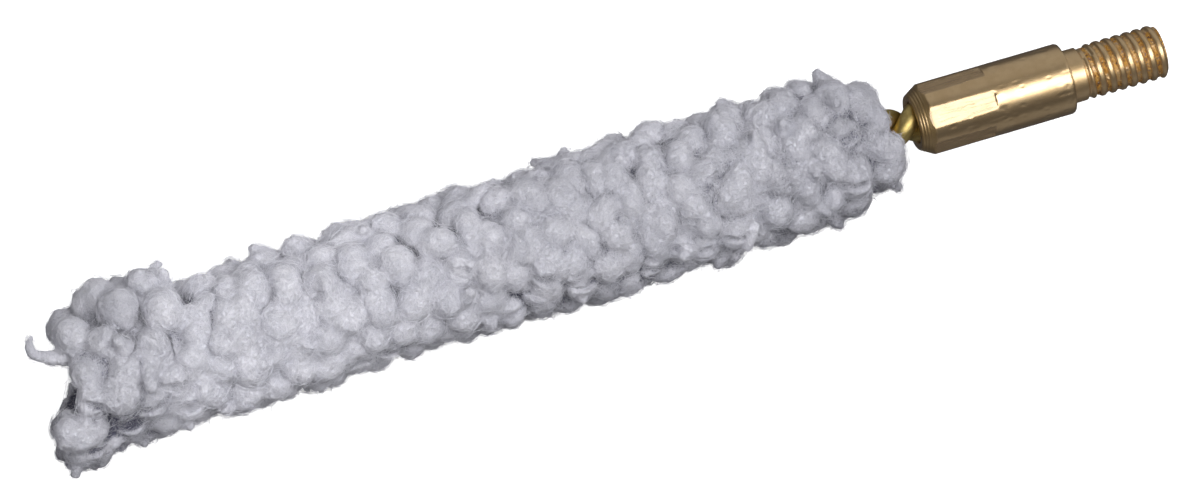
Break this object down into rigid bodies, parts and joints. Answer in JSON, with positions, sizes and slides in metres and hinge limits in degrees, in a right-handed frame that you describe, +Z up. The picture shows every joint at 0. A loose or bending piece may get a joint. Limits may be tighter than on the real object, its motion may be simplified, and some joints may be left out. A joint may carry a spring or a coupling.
{
  "type": "bore cleaning mop",
  "caption": "Cotton bore cleaning mop: a crimped brass ferrule with a male rod thread holds a twisted wire core wrapped in cotton yarn loops.",
  "frame": {"origin": "where the axis meets the ferrule's shoulder, the face that stops against a rod", "axes": "+X along the axis, out of the threaded end; +Z up, with the mop lying on its side"},
  "size_m": [0.0832, 0.0122, 0.0122],
  "materials": {
    "turned_brass": "turned, bright with light scratches and specks of tarnish",
    "wire_brass": "drawn wire, satin",
    "cotton_yarn": "matte, soft looped yarn"
  },
  "bodies": {
    "root": {"ferrule": "turned_brass", "core_wire": "wire_brass", "cotton_tuft_01": "cotton_yarn", "cotton_tuft_02": "cotton_yarn", "cotton_tuft_03": "cotton_yarn", "cotton_tuft_04": "cotton_yarn", "cotton_tuft_05": "cotton_yarn", "cotton_tuft_06": "cotton_yarn", "cotton_tuft_07": "cotton_yarn", "cotton_tuft_08": "cotton_yarn", "cotton_tuft_09": "cotton_yarn", "cotton_tuft_10": "cotton_yarn", "cotton_tuft_11": "cotton_yarn", "cotton_tuft_12": "cotton_yarn", "cotton_tuft_13": "cotton_yarn", "cotton_tuft_14": "cotton_yarn", "cotton_tuft_15": "cotton_yarn", "cotton_tuft_16": "cotton_yarn", "cotton_tuft_17": "cotton_yarn", "cotton_tuft_18": "cotton_yarn"}
  },
  "joints": []
}
